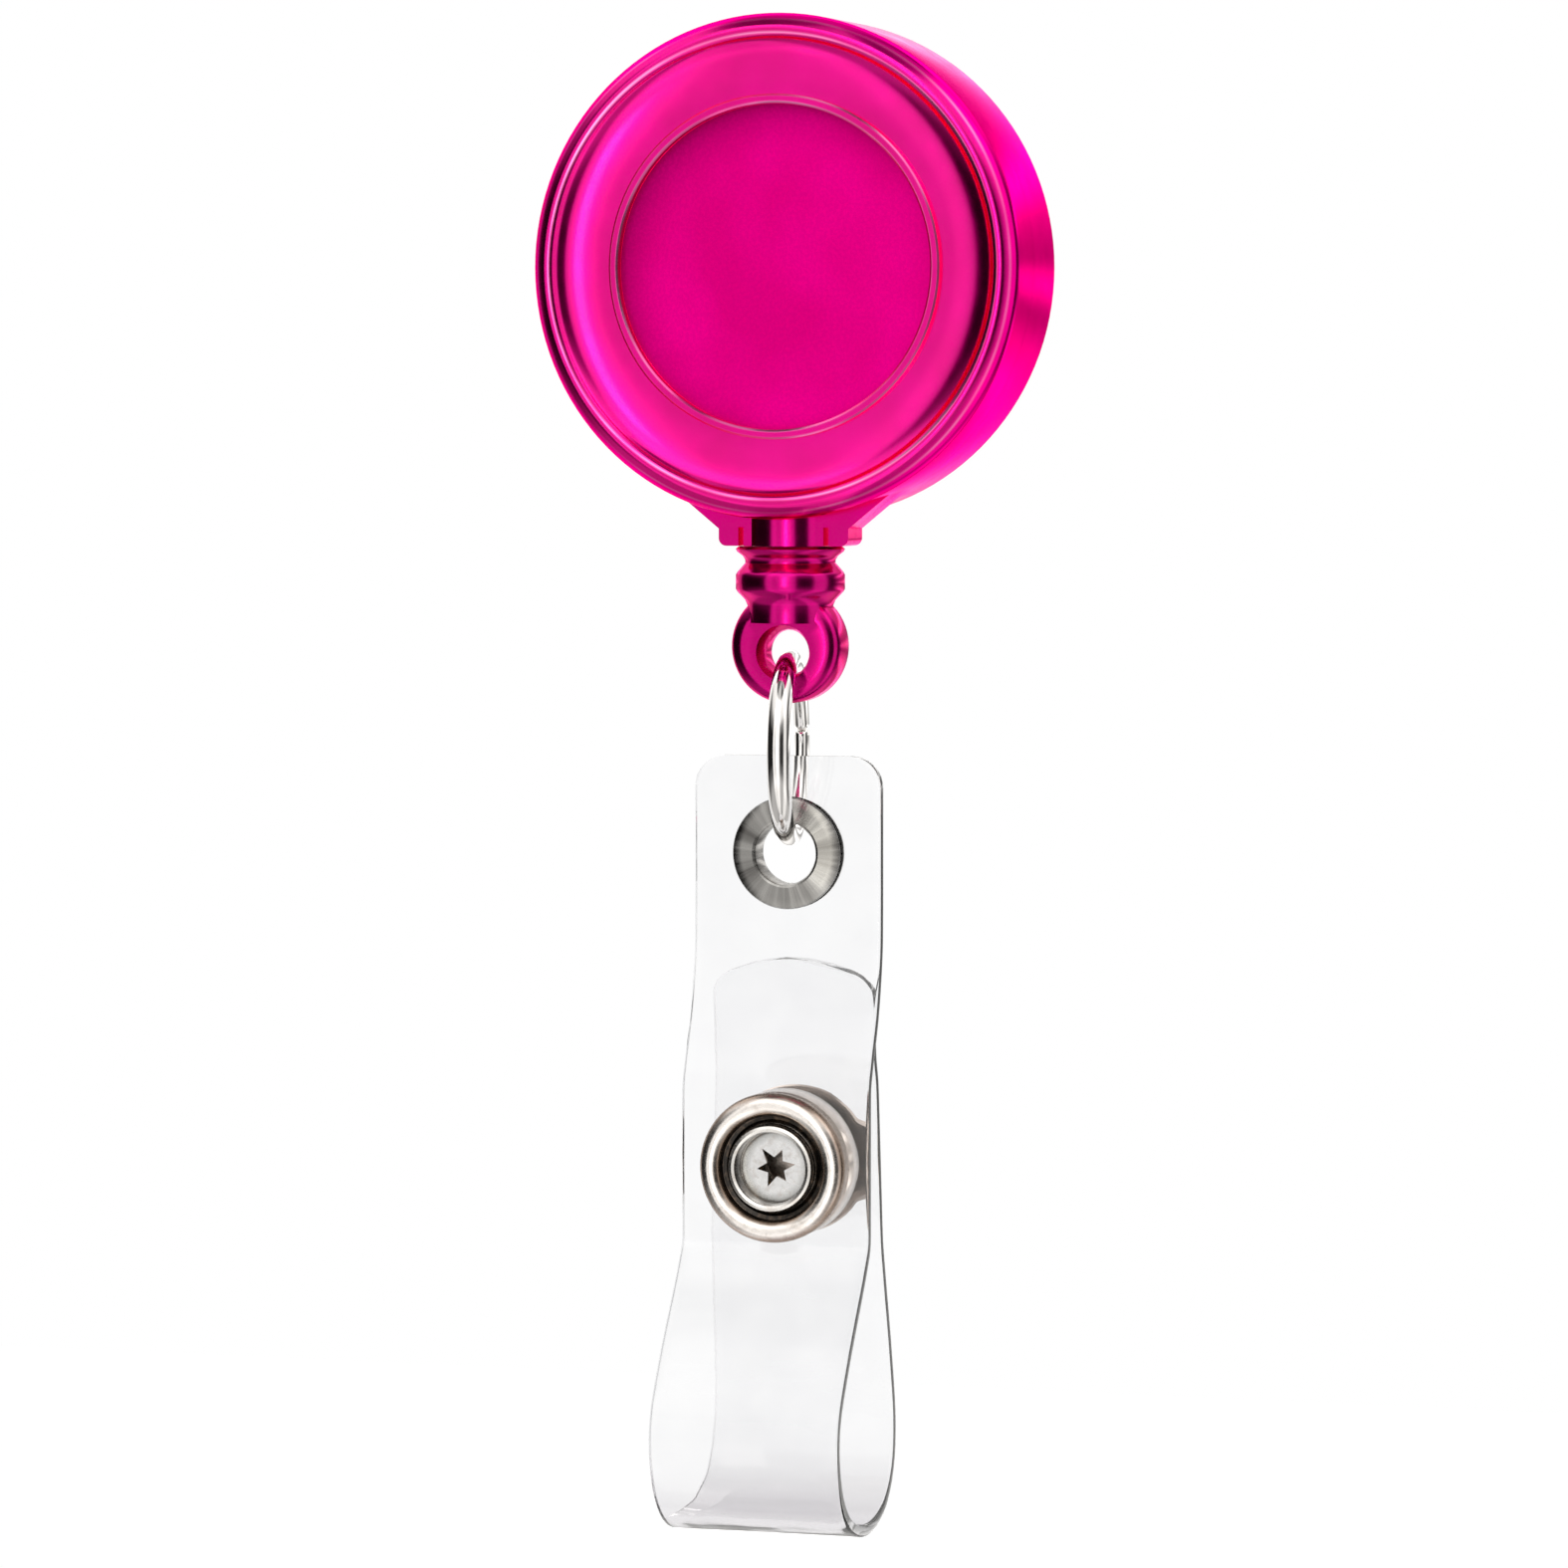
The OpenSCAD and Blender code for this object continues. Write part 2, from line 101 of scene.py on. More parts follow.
def make_camera():
    right = Vector((math.cos(CAMERA_AZIMUTH), math.sin(CAMERA_AZIMUTH), 0))
    place = Vector((math.sin(CAMERA_AZIMUTH) * CAMERA_DISTANCE,
                    PLANE_Y - math.cos(CAMERA_AZIMUTH) * CAMERA_DISTANCE, CAMERA_Z))
    aim = Vector((0, PLANE_Y, AIM_Z)) - right * AIM_LEFT
    data = bpy.data.cameras.new("camera")
    data.sensor_width = 36
    data.lens = LENS
    data.clip_start = 0.01
    data.clip_end = 20
    camera = bpy.data.objects.new("camera", data)
    bpy.context.collection.objects.link(camera)
    camera.location = place
    camera.rotation_mode = "QUATERNION"
    camera.rotation_quaternion = (aim - place).to_track_quat("-Z", "Y")
    bpy.context.scene.camera = camera


# ---- node helpers

class Shader:
    """A material's nodes, added and linked in short calls."""

    def __init__(self, name):
        self.material = bpy.data.materials.new(name)
        self.material.use_nodes = True
        self.tree = self.material.node_tree
        self.bsdf = self.tree.nodes["Principled BSDF"]

    def set(self, **values):
        for key, value in values.items():
            self.bsdf.inputs[key.replace("_", " ")].default_value = value
        return self

    def node(self, kind, links=None, **settings):
        n = self.tree.nodes.new(kind)
        for key, value in settings.items():
            if key.startswith("in_"):
                name = key[3:].replace("_", " ")
                n.inputs[int(name) if name.isdigit() else name].default_value = value
            else:
                setattr(n, key, value)
        for key, source in (links or {}).items():
            self.tree.links.new(source, n.inputs[key])
        return n

    def link(self, source, name):
        self.tree.links.new(source, self.bsdf.inputs[name])

    def place(self, scale=(1, 1, 1)):
        """Object coordinates in millimetres, stretched by scale."""
        coords = self.node("ShaderNodeTexCoord").outputs["Object"]
        return self.node("ShaderNodeVectorMath", {0: coords}, operation="MULTIPLY",
                         in_1=tuple(1000 * s for s in scale)).outputs[0]

    def noise(self, vector, scale, detail=4, rough=0.5):
        return self.node("ShaderNodeTexNoise", {"Vector": vector}, in_Scale=scale,
                         in_Detail=detail, in_Roughness=rough).outputs["Fac"]

    def span(self, value, low, high, a=0.0, b=1.0):
        """Value taken from low..high to a..b."""
        return self.node("ShaderNodeMapRange", {"Value": value}, in_From_Min=a, in_From_Max=b,
                         in_To_Min=low, in_To_Max=high).outputs["Result"]

    def math(self, operation, a, b=None):
        n = self.node("ShaderNodeMath", operation=operation)
        for i, v in enumerate((a, b)):
            if v is None:
                continue
            if isinstance(v, (int, float)):
                n.inputs[i].default_value = v
            else:
                self.tree.links.new(v, n.inputs[i])
        return n.outputs[0]

    def mix(self, factor, a, b):
        n = self.node("ShaderNodeMix", data_type="RGBA")
        for socket, v in ((n.inputs[0], factor), (n.inputs[6], a), (n.inputs[7], b)):
            if isinstance(v, (float, tuple)):
                socket.default_value = v
            else:
                self.tree.links.new(v, socket)
        return n.outputs[2]

    def bump(self, height, strength, distance):
        return self.node("ShaderNodeBump", {"Height": height}, in_Strength=strength,
                         in_Distance=distance).outputs["Normal"]


# ---- materials

MAGENTA = (0.98, 0.0003, 0.32, 1)
MAGENTA_DEEP = (0.84, 0.0002, 0.25, 1)
# MAGENTA_DARK is also the colour that painted shade darkens towards.
MAGENTA_DARK = (0.24, 0.0, 0.075, 1)
COAT = 0.3
HIGHLIGHT_PINK = (1.0, 0.36, 0.68, 1)        # painted highlight, pink-white, where a rim catches the light
LABEL_R = 10.3     # mm
NECK_TOP = -14.5   # mm, below this the plastic is painted darker, as painted shade
LABEL_Y = -13.1    # mm, anything in front of this and inside LABEL_R is the recess floor
RECESS_BRIGHTEST = (0.9, 0, -0.9)    # mm, the centre of the painted shade in the recess, where it is least dark
# Rings of painted highlight on the rims: radius, half width, the furthest back they reach, strength
# (mm).
HIGHLIGHT_RINGS = [(10.38, 0.1, -13.6, 0.9), (10.84, 0.1, -13.6, 0.8), (14.72, 0.13, -14.3, 0.9),
              (15.55, 0.1, -13.6, 0.45)]


def painted_highlight_rings(s, at, radius, depth):
    """How strong the painted highlight is along the rims' rings, broken up by noise."""
    highlight = 0.0
    for at_r, width, reach, share in HIGHLIGHT_RINGS:
        off = s.math("ABSOLUTE", s.math("SUBTRACT", radius, at_r))
        line = s.span(off, share, 0.0, 0.0, width)
        ahead = s.math("LESS_THAN", depth, reach)
        highlight = s.math("ADD", s.math("MULTIPLY", line, ahead), highlight)
    broken = s.span(s.noise(at, 0.13, 2), 0.25, 1.0, 0.4, 0.6)
    return s.math("MULTIPLY", highlight, broken)


def recess_shade(s, flat, grain, floor):
    """Painted shade: the recess is darker towards its edge, most of all at the upper left. It is also
    flecked by its grain.
    """
    lower_right = s.node("ShaderNodeVectorMath", {0: flat}, operation="SUBTRACT",
                         in_1=RECESS_BRIGHTEST).outputs[0]
    askew = s.node("ShaderNodeVectorMath", {0: lower_right}, operation="LENGTH").outputs["Value"]
    edge = s.span(askew, 0.0, 0.85, LABEL_R - 2.6, LABEL_R + 1.2)
    fleck = s.span(grain, 0.0, 0.2, 0.62, 0.42)
    return s.math("MULTIPLY", floor, s.math("ADD", s.math("MULTIPLY", edge, edge), fleck))


def candy_plastic(name, shade):
    """Dyed lacquer over bright metal, under a thin clear coat. Shade darkens all of it as painted
    shade, for a part seen in less light.
    """
    s = Shader(name).set(Metallic=1.0, Coat_Roughness=0.03, Coat_IOR=1.5,
                         Specular_Tint=(1, 0.0, 0.5, 1))
    at = s.place()
    xyz = s.node("ShaderNodeSeparateXYZ", {0: at})
    flat = s.node("ShaderNodeCombineXYZ", {0: xyz.outputs[0], 2: xyz.outputs[2]}).outputs[0]
    radius = s.node("ShaderNodeVectorMath", {0: flat}, operation="LENGTH").outputs["Value"]
    inside = s.math("LESS_THAN", radius, LABEL_R - 0.02)
    front = s.math("LESS_THAN", xyz.outputs[1], LABEL_Y)
    floor = s.math("MULTIPLY", inside, front)
    off_floor = s.math("SUBTRACT", 1.0, floor)
    cloud = s.noise(at, 0.16, 2)
    grain = s.noise(at, 4.5, 4, 0.75)
    streak = s.noise(at, 0.8, 3)

    tone = s.mix(s.span(cloud, 0, 1, 0.35, 0.68), MAGENTA_DEEP, MAGENTA)
    # Painted shade over the whole part, by the shade argument.
    tone = s.mix(shade, tone, MAGENTA_DARK)
    tone = s.mix(floor, tone, s.mix(0.15, tone, MAGENTA_DARK))
    # Painted shade: darker below the neck's top.
    low = s.span(xyz.outputs[2], 1.0, 0.0, NECK_TOP - 2.0, NECK_TOP)
    tone = s.mix(s.math("MULTIPLY", low, 0.22), tone, MAGENTA_DARK)
    # Painted highlight: pink-white lines along the rims.
    tone = s.mix(painted_highlight_rings(s, at, radius, xyz.outputs[1]), tone, HIGHLIGHT_PINK)
    # Painted shade in the recess, with its grain's flecks.
    s.link(s.mix(recess_shade(s, flat, grain, floor), tone, MAGENTA_DARK), "Base Color")

    gloss = s.span(streak, 0.17, 0.22, 0.3, 0.7)
    matte = s.span(grain, 0.4, 0.6, 0.3, 0.7)
    s.link(s.math("ADD", s.math("MULTIPLY", floor, matte), s.math("MULTIPLY", off_floor, gloss)),
           "Roughness")
    side = s.span(radius, 1.0, 0.0, CASE_R / MM - 0.8, CASE_R / MM - 0.3)
    bare = s.math("MAXIMUM", side, s.math("MULTIPLY", low, 0.5))
    s.link(s.math("MULTIPLY", s.span(floor, COAT, 0.0), bare), "Coat Weight")
    wave = s.math("MULTIPLY", s.noise(at, 0.22, 2), 0.6)
    height = s.math("ADD", s.math("MULTIPLY", grain, floor), wave)
    s.link(s.bump(height, 0.35, 0.02 * MM), "Normal")
    return s.material


def nickel(name="nickel", colour=(0.66, 0.63, 0.6, 1), rough=(0.05, 0.11), streaks=(1, 9, 1)):
    s = Shader(name).set(Metallic=1.0, Specular_Tint=(1, 1, 1, 1))
    at = s.place()
    cloud = s.noise(at, 0.9, 4)
    lines = s.noise(s.place(streaks), 2.2, 3, 0.6)
    darker = tuple(c * 0.72 for c in colour[:3]) + (1,)
    s.link(s.mix(s.span(cloud, 0, 1, 0.3, 0.75), darker, colour), "Base Color")
    s.link(s.span(lines, rough[0], rough[1], 0.3, 0.7), "Roughness")
    s.link(s.bump(s.math("ADD", lines, s.noise(at, 1.6, 2)), 0.12, 0.02 * MM), "Normal")
    return s.material


def brushed_flange(name, centre_z):
    """Nickel with the streaks that rolling leaves, running out from the hole."""
    s = Shader(name).set(Metallic=1.0, Specular_Tint=(1, 1, 1, 1))
    at = s.place()
    xyz = s.node("ShaderNodeSeparateXYZ", {0: at})
    rise = s.math("SUBTRACT", xyz.outputs[2], centre_z / MM)
    turn = s.math("ARCTAN2", rise, xyz.outputs[0])
    round_ring = s.node("ShaderNodeCombineXYZ", {0: s.math("MULTIPLY", s.math("SINE", turn), 3.0),
                                                 1: s.math("MULTIPLY", s.math("COSINE", turn), 3.0),
                                                 2: s.math("MULTIPLY", xyz.outputs[1], 0.15)})
    fine = s.noise(round_ring.outputs[0], 3.4, 3, 0.6)
    broad = s.noise(round_ring.outputs[0], 0.55, 2)
    tone = s.math("ADD", s.math("MULTIPLY", fine, 0.3), s.math("MULTIPLY", broad, 0.9))
    s.link(s.mix(s.span(tone, 0, 1, 0.38, 0.8), (0.1, 0.095, 0.09, 1), (0.52, 0.51, 0.49, 1)),
           "Base Color")
    s.link(s.span(fine, 0.16, 0.3, 0.3, 0.7), "Roughness")
    s.link(s.bump(fine, 0.25, 0.03 * MM), "Normal")
    return s.material


# Colours by radius in mm. The white from 3.75 to 4.3 is a painted highlight; the dark at 2.25 and from
# 2.92 to 3.32 is painted shade.
SNAP_BANDS = [(0.0, (0.74, 0.74, 0.74)), (1.6, (0.8, 0.8, 0.8)), (2.1, (0.5, 0.5, 0.49)),
              (2.25, (0.1, 0.09, 0.08)), (2.36, (0.75, 0.73, 0.7)), (2.78, (0.8, 0.77, 0.73)),
              (2.92, (0.05, 0.045, 0.04)), (3.32, (0.03, 0.027, 0.025)), (3.52, (0.36, 0.27, 0.21)),
              (3.75, (0.95, 0.9, 0.85)), (4.3, (0.95, 0.9, 0.86)), (4.62, (0.45, 0.35, 0.29)),
              (4.8, (0.2, 0.14, 0.1))]
SNAP_REACH = 5.0      # mm, the radius at the end of SNAP_BANDS


def plated_snap(name):
    """Nickel plate coloured by distance from the snap's axis: brownish at its edges, with a painted
    highlight across its rolled band and painted shade down in its groove and at the petals' rim."""
    s = Shader(name).set(Metallic=1.0, Specular_Tint=(1, 1, 1, 1))
    at = s.place()
    xyz = s.node("ShaderNodeSeparateXYZ", {0: at})
    rise = s.math("SUBTRACT", xyz.outputs[2], SNAP_Z / MM)
    flat = s.node("ShaderNodeCombineXYZ", {0: xyz.outputs[0], 1: rise}).outputs[0]
    radius = s.node("ShaderNodeVectorMath", {0: flat}, operation="LENGTH").outputs["Value"]
    wander = s.span(s.noise(at, 0.7, 3), -0.12, 0.12)
    share = s.math("DIVIDE", s.math("ADD", radius, wander), SNAP_REACH)
    bands = s.node("ShaderNodeValToRGB", {0: share})
    r = bands.color_ramp
    for i, (where, colour) in enumerate(SNAP_BANDS):
        e = r.elements[i] if i < 2 else r.elements.new(where / SNAP_REACH)
        e.position = where / SNAP_REACH
        e.color = colour + (1,)
    tarnish = s.span(s.noise(at, 1.8, 4), 0.0, 0.35, 0.5, 0.75)
    s.link(s.mix(tarnish, bands.outputs[0], (0.34, 0.24, 0.17, 1)), "Base Color")
    s.link(s.span(s.noise(at, 2.6, 3), 0.2, 0.3, 0.3, 0.7), "Roughness")
    s.link(s.bump(s.noise(at, 1.6, 3), 0.2, 0.03 * MM), "Normal")
    return s.material


def plain_plastic(name, colour, rough):
    s = Shader(name)
    at = s.place()
    cloud = s.noise(at, 0.5, 3)
    darker = tuple(c * 0.86 for c in colour[:3]) + (1,)
    s.link(s.mix(cloud, darker, colour), "Base Color")
    s.link(s.span(s.noise(at, 5.0, 3), rough - 0.06, rough + 0.06, 0.3, 0.7), "Roughness")
    s.link(s.bump(s.noise(at, 12.0, 3), 0.1, 0.01 * MM), "Normal")
    return s.material


def cord_nylon():
    s = Shader("cord_nylon").set(Sheen_Weight=0.3)
    wave = s.node("ShaderNodeTexWave", {"Vector": s.place()}, in_Scale=2.4,
                  in_Distortion=1.0, bands_direction="DIAGONAL").outputs["Fac"]
    s.link(s.mix(wave, (0.006, 0.006, 0.007, 1), (0.03, 0.03, 0.033, 1)), "Base Color")
    s.link(s.span(wave, 0.45, 0.7), "Roughness")
    s.link(s.bump(wave, 0.6, 0.04 * MM), "Normal")
    return s.material


FOLD_RISE = 6.0      # mm above the loop's bottom where the vinyl starts to be tinted greyer, most at the bottom
FOLD_TINT = (0.74, 0.72, 0.74, 1)


def clear_vinyl():
    s = Shader("clear_vinyl").set(Transmission_Weight=1.0, IOR=1.46)
    at = s.place()
    haze = s.noise(at, 0.3, 3)
    body = s.mix(s.span(haze, 0, 1, 0.3, 0.7), (0.93, 0.93, 0.937, 1), (0.965, 0.965, 0.968, 1))
    height = s.node("ShaderNodeSeparateXYZ", {0: at}).outputs[2]
    fold = s.span(height, 1.0, 0.0, PIVOT.z / MM, PIVOT.z / MM + FOLD_RISE)
    s.link(s.mix(s.math("MULTIPLY", fold, fold), body, FOLD_TINT), "Base Color")
    s.link(s.span(s.noise(at, 0.8, 2), 0.01, 0.06, 0.3, 0.7), "Roughness")
    s.link(s.bump(s.noise(s.place((0.5, 1, 1)), 0.28, 2), 0.3, 0.15 * MM), "Normal")
    return s.material


def pale_floor():
    s = Shader("pale_floor").set(Base_Color=(0.02, 0.02, 0.02, 1), Roughness=1.0,
                                 Specular_IOR_Level=0.0, Emission_Color=(1, 1, 1, 1),
                                 Emission_Strength=0.985)
    return s.material


# ---- studio

# The floor lies below the strap even when the cord is drawn right out.
FLOOR_GAP = 0.05
FLOOR_Z = CAD_BOX[0][2] - joint("cord_pull")["range_m"][1] - FLOOR_GAP


def ramp(tree, value, stops):
    n = tree.nodes.new("ShaderNodeValToRGB")
    tree.links.new(value, n.inputs[0])
    r = n.color_ramp
    r.interpolation = "EASE"
    while len(r.elements) > 1:
        r.elements.remove(r.elements[-1])
    top = max(v for _, v in stops)
    for i, (p, v) in enumerate(stops):
        e = r.elements[0] if i == 0 else r.elements.new(p)
        e.position = p
        e.color = (v / top,) * 3 + (1,)
    scale = tree.nodes.new("ShaderNodeMath")
    scale.operation = "MULTIPLY"
    tree.links.new(n.outputs[0], scale.inputs[0])
    scale.inputs[1].default_value = top
    return scale.outputs[0]


# Brightness round the object by azimuth in degrees: 0 is in front of it, 90 to its right.
ROUND = [(-180, 0.2), (-150, 0.3), (-128, 1.0), (-114, 0.9), (-106, 0.02), (-43, 0.01),
         (-36, 0.9), (-32, 1.15), (-25, 1.15), (-22, 0.85), (-11, 0.85), (-8, 1.2), (12, 1.4),
         (24, 0.9), (32, 0.04), (62, 0.04), (74, 1.0), (96, 1.0), (108, 0.05), (134, 0.08),
         (150, 0.2), (180, 0.2)]
# The same by elevation.
HIGH = [(-90, 0.5), (-50, 0.5), (-32, 0.8), (-8, 1.0), (0, 0.9), (8, 1.0), (32, 0.9),
        (60, 0.5), (90, 0.5)]
# What is added from above and below, whatever the azimuth.
CAP = [(-90, 0.2), (-60, 0.5), (-38, 0.5), (-20, 0.1), (-12, 0.0), (14, 0.0), (24, 0.2),
       (38, 1.0), (56, 1.2), (64, 0.1), (90, 0.2)]
# A bright window to the camera's right.
WINDOW_ROUND = [(-180, 0), (-3, 0), (1, 1), (6, 1), (10, 0), (180, 0)]
WINDOW_HIGH = [(-90, 0), (-24, 0), (-12, 2.4), (20, 2.4), (32, 0), (90, 0)]
WINDOW_COLOUR = (1.0, 0.98, 0.9, 1)
# Streaks behind the object, by elevation.
BACK = [(-90, 0.3), (-40, 0.5), (-20, 0.3), (-14, 2.2), (-9, 0.9), (-4, 0.2), (-1, 1.6),
        (2, 0.3), (7, 0.6), (11, 3.0), (15, 0.5), (30, 0.6), (90, 0.4)]
BACK_FROM = 118
BACK_FULL = 150
# How white the sheet's background is, as seen through it, by azimuth and elevation.
SEEN_ROUND = [(-180, 1.0), (-125, 1.0), (-105, 0.65), (-65, 0.65), (-45, 1.0), (45, 1.0),
              (65, 0.65), (105, 0.65), (125, 1.0), (180, 1.0)]
SEEN_HIGH = [(-90, 0.4), (-45, 0.5), (-25, 1.0), (25, 1.0), (45, 0.5), (90, 0.4)]


def make_world():
    world = bpy.data.worlds.new("studio")
    bpy.context.scene.world = world
    world.use_nodes = True
    t = world.node_tree
    t.nodes.clear()

    def add(kind, **settings):
        n = t.nodes.new(kind)
        for key, value in settings.items():
            setattr(n, key, value)
        return n

    coords = add("ShaderNodeTexCoord")
    xyz = add("ShaderNodeSeparateXYZ")
    t.links.new(coords.outputs["Generated"], xyz.inputs[0])
    front = add("ShaderNodeMath", operation="MULTIPLY")
    t.links.new(xyz.outputs[1], front.inputs[0])
    front.inputs[1].default_value = -1
    azimuth = add("ShaderNodeMath", operation="ARCTAN2")
    t.links.new(xyz.outputs[0], azimuth.inputs[0])
    t.links.new(front.outputs[0], azimuth.inputs[1])
    elevation = add("ShaderNodeMath", operation="ARCSINE")
    t.links.new(xyz.outputs[2], elevation.inputs[0])

    def to_unit(source, low, high):
        n = add("ShaderNodeMapRange")
        t.links.new(source, n.inputs["Value"])
        n.inputs["From Min"].default_value = math.radians(low)
        n.inputs["From Max"].default_value = math.radians(high)
        return n.outputs["Result"]

    def by_azimuth(stops):
        turn = to_unit(azimuth.outputs[0], -180, 180)
        return ramp(t, turn, [((a + 180) / 360, v) for a, v in stops])

    def by_elevation(stops):
        rise = to_unit(elevation.outputs[0], -90, 90)
        return ramp(t, rise, [((e + 90) / 180, v) for e, v in stops])

    def join(operation, a, b):
        n = add("ShaderNodeMath", operation=operation)
        t.links.new(a, n.inputs[0])
        t.links.new(b, n.inputs[1])
        return n.outputs[0]

    mask = [(-180, 1), (-BACK_FULL, 1), (-BACK_FROM, 0), (BACK_FROM, 0), (BACK_FULL, 1), (180, 1)]
    studio = join("ADD", join("MULTIPLY", by_azimuth(ROUND), by_elevation(HIGH)), by_elevation(CAP))
    studio = join("ADD", studio, join("MULTIPLY", by_azimuth(mask), by_elevation(BACK)))
    window = join("MULTIPLY", by_azimuth(WINDOW_ROUND), by_elevation(WINDOW_HIGH))
    through = join("MULTIPLY", by_azimuth(SEEN_ROUND), by_elevation(SEEN_HIGH))

    path = add("ShaderNodeLightPath")

    def background(strength, colour):
        n = add("ShaderNodeBackground")
        n.inputs["Color"].default_value = colour
        if strength is not None:
            t.links.new(strength, n.inputs["Strength"])
        return n.outputs[0]

    def choose(factor, a, b):
        n = add("ShaderNodeMixShader")
        t.links.new(factor, n.inputs[0])
        t.links.new(a, n.inputs[1])
        t.links.new(b, n.inputs[2])
        return n.outputs[0]

    lit = add("ShaderNodeAddShader")
    t.links.new(background(studio, (1.0, 0.985, 0.965, 1)), lit.inputs[0])
    t.links.new(background(window, WINDOW_COLOUR), lit.inputs[1])
    seen = choose(path.outputs["Is Transmission Ray"], lit.outputs[0],
                  background(through, (1, 1, 1, 1)))
    seen = choose(path.outputs["Is Camera Ray"], seen, background(None, (1, 1, 1, 1)))
    out = add("ShaderNodeOutputWorld")
    t.links.new(seen, out.inputs["Surface"])


def make_floor():
    mesh = bpy.data.meshes.new("floor")
    half = 6.0
    mesh.from_pydata([(-half, -half, FLOOR_Z), (half, -half, FLOOR_Z), (half, half, FLOOR_Z),
                      (-half, half, FLOOR_Z)], [], [(0, 1, 2, 3)])
    floor = bpy.data.objects.new("floor", mesh)
    bpy.context.collection.objects.link(floor)
    floor.data.materials.append(pale_floor())
    floor.visible_glossy = False
    floor.visible_diffuse = False


# ---- pieces

WELD_GAP = 1e-6      # metres, points this close on a CAD node are one
EDGE_ANGLE = 32      # degrees, the sharpest edge that is shaded smooth on a CAD node


def smooth(obj, degrees):
    for p in obj.data.polygons:
        p.use_smooth = True
    obj.data.set_sharp_from_angle(angle=math.radians(degrees))


def piece(name, bm, material):
    mesh = bpy.data.meshes.new(name)
    bmesh.ops.recalc_face_normals(bm, faces=bm.faces)
    bm.to_mesh(mesh)
    bm.free()
    obj = bpy.data.objects.new(name, mesh)
    bpy.context.collection.objects.link(obj)
    obj.data.materials.append(material)
    return obj


def skin(bm, loops):
    """Faces between loops of the same length, and across the first and the last."""
    n = len(loops[0])
    for a, b in zip(loops, loops[1:]):
        for k in range(n):
            bm.faces.new((a[k], b[k], b[(k + 1) % n], a[(k + 1) % n]))
    bm.faces.new(loops[0])
    bm.faces.new(loops[-1])


def catmull(points, steps):
    out = []
    for i in range(1, len(points) - 2):
        p0, p1, p2, p3 = (Vector(points[k]) for k in (i - 1, i, i + 1, i + 2))
        for k in range(steps):
            t = k / steps
            out.append(0.5 * (2 * p1 + (p2 - p0) * t + (2 * p0 - 5 * p1 + 4 * p2 - p3) * t * t
                              + (3 * p1 - p0 - 3 * p2 + p3) * t ** 3))
    out.append(Vector(points[-2]))
    return out


# The strap's middle in [y, z] mm, y from the split plane, in three runs from its top edge to the
# flap's tip. Each run's first and last points only steer it.
LEG_TOP = [(-0.35, -28), (-0.35, -31.1), (-0.35, -36.5), (-0.35, -41.2), (-0.5, -44),
           (-1.3, -47.5), (-2.5, -50.4), (-3.15, -52.5), (-2.5, -54.6)]
LOOP = [(-4.3, -59.4), (-3.15, -61.7), (-4.3, -64), (-8, -69), (-10.2, -73), (-9.7, -76.8),
        (-7.3, -79.3), (-3.4, -80.2), (0.2, -79.4), (2.6, -77.2), (3.4, -74), (2.9, -69.5),
        (2.05, -65), (1.6, -61.8), (2.05, -58.6)]
FLAP_TOP = [(1.2, -55.4), (1.6, -52.6), (1.2, -49.8), (0.65, -43.5), (0.3, -40)]
STRAP_W = 12.4
TIP_W = 10.6
VINYL_T = 0.8
TOP_CORNER = 2.0
TIP_CORNER = 0.9
TIP_APEX = -44.2
TIP_DOME_R = 10.2
PATH_STEPS = 10      # points a run has between two of its own
ROW_GAP = 0.45       # mm between rows, except at the rounded ends
DOME_REACH = 9       # mm from the tip over which the rows bow to its curve
TAPER_FROM = 4       # mm past the loop's lowest point where the flap starts to narrow
TAPER_SHORT = 10     # mm by which the narrowing is shorter than the flap


def strap_path():
    """The strap's middle line, ending at its tip's apex, and the index of its lowest point."""
    path = catmull(LEG_TOP, PATH_STEPS) + catmull(LOOP, PATH_STEPS) + catmull(FLAP_TOP, PATH_STEPS)
    lowest = min(range(len(path)), key=lambda i: path[i].y)
    end = next(i for i in range(lowest, len(path)) if path[i].y > TIP_APEX)
    path = path[:end]
    rest = max(TIP_APEX - path[-1].y, 0.05)
    path.append(path[-1] + (path[-1] - path[-2]).normalized() * rest)
    return path, lowest


def strap_stops(total):
    """How far along the strap its rows are, closer together at the rounded ends."""
    stops = [0, 0.03, 0.12, 0.3, 0.55, 0.9, 1.3, 1.7]
    stops += [2 + ROW_GAP * k for k in range(int((total - 4.2) / ROW_GAP) + 1)]
    stops += [total - 2 + 0.4 * k for k in range(3)]
    stops += [total - d for d in (0.7, 0.45, 0.25, 0.1, 0.03, 0)]
    return sorted(set(round(s, 4) for s in stops))


def corner_loss(left, r):
    """How much narrower a half width is, left mm from an end whose corners have radius r."""
    if left >= r:
        return 0.0
    return r - math.sqrt(max(0, r ** 2 - (r - left) ** 2))


def strap_rows():
    """The strap's rows from its top edge to the flap's tip: place, tangent, half width, dome."""
    path, lowest = strap_path()
    lengths = [0.0]
    for a, b in zip(path, path[1:]):
        lengths.append(lengths[-1] + (b - a).length)
    total = lengths[-1]

    def at(s):
        i = max(k for k in range(len(lengths)) if lengths[k] <= s + 1e-9)
        i = min(i, len(path) - 2)
        t = (s - lengths[i]) / (lengths[i + 1] - lengths[i])
        before = path[max(i - 1, 0)]
        after = path[min(i + 2, len(path) - 1)]
        return path[i].lerp(path[i + 1], t), (after - before).normalized()

    rows = []
    for s in strap_stops(total):
        p, tangent = at(s)
        half = STRAP_W / 2
        past = s - lengths[lowest]
        if past > 0:
            share = (past - TAPER_FROM) / (total - lengths[lowest] - TAPER_SHORT)
            half += (TIP_W - STRAP_W) / 2 * min(1, max(0, share))
        half -= corner_loss(s, TOP_CORNER) + corner_loss(total - s, TIP_CORNER)
        rows.append((p, tangent, half, max(0.0, 1 - (total - s) / DOME_REACH)))
    return rows


